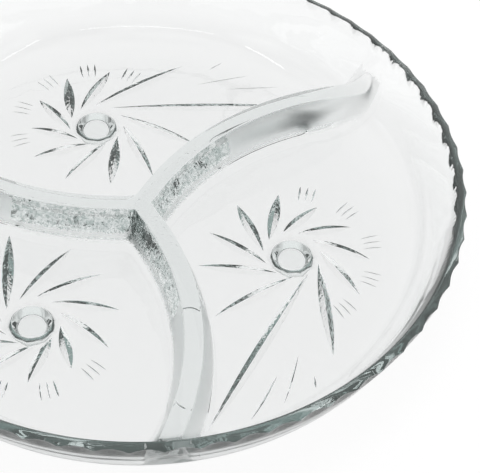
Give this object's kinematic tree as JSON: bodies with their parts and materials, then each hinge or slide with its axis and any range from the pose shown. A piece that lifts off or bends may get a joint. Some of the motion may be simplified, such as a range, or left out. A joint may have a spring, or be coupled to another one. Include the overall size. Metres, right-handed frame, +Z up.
{
  "type": "relish tray",
  "caption": "Round pressed-glass relish tray with a toothed, flaring rim, curved dividers between its compartments, and pinwheel cuts round the button feet underneath.",
  "frame": {"origin": "on the table under the middle of the tray, at the bottom of the feet", "axes": "+Z up, square to the table; the first compartment's foot lies 7 degrees from +X towards -Y"},
  "size_m": [0.254, 0.254, 0.045],
  "materials": {
    "glass": "polished clear pressed glass"
  },
  "bodies": {
    "root": {"rim_band": "glass", "side_wall": "glass", "heel": "glass", "floor_1": "glass", "floor_2": "glass", "floor_3": "glass", "divider_hub": "glass", "divider_1": "glass", "divider_2": "glass", "divider_3": "glass", "foot_1": "glass", "foot_2": "glass", "foot_3": "glass"}
  },
  "joints": []
}
